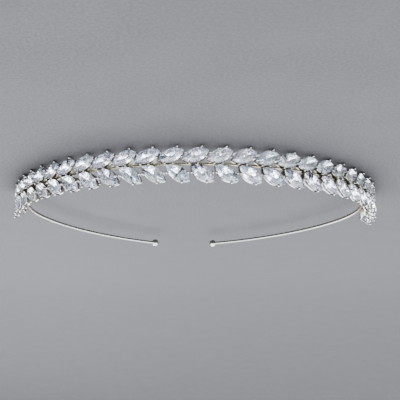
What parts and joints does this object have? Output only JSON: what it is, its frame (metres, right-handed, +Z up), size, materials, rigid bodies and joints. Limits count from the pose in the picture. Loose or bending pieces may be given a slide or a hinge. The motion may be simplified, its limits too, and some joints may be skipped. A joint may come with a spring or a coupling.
{
  "type": "rhinestone leaf headband",
  "caption": "Open round-wire headband with ball tips; its front half carries two leaf-like rows of clear marquise stones in open prong settings.",
  "frame": {"origin": "middle of the bounding box at its lowest level, where the lowest claws touch the surface", "axes": "+Z up through the open ring, -Y to the stone-set front, +Y to the open end with the two ball tips, +X to the side from which the leaves grow"},
  "size_m": [0.1318, 0.1477, 0.0112],
  "materials": {
    "silver_metal": "polished silver-coloured plate, nearly mirror bright",
    "clear_stone": "clear brilliant-cut crystal glass with a silvered back, polished flat facets"
  },
  "bodies": {
    "root": {"headband_frame": "silver_metal", "upper_row_stones": "clear_stone", "lower_row_stones": "clear_stone"}
  },
  "joints": []
}
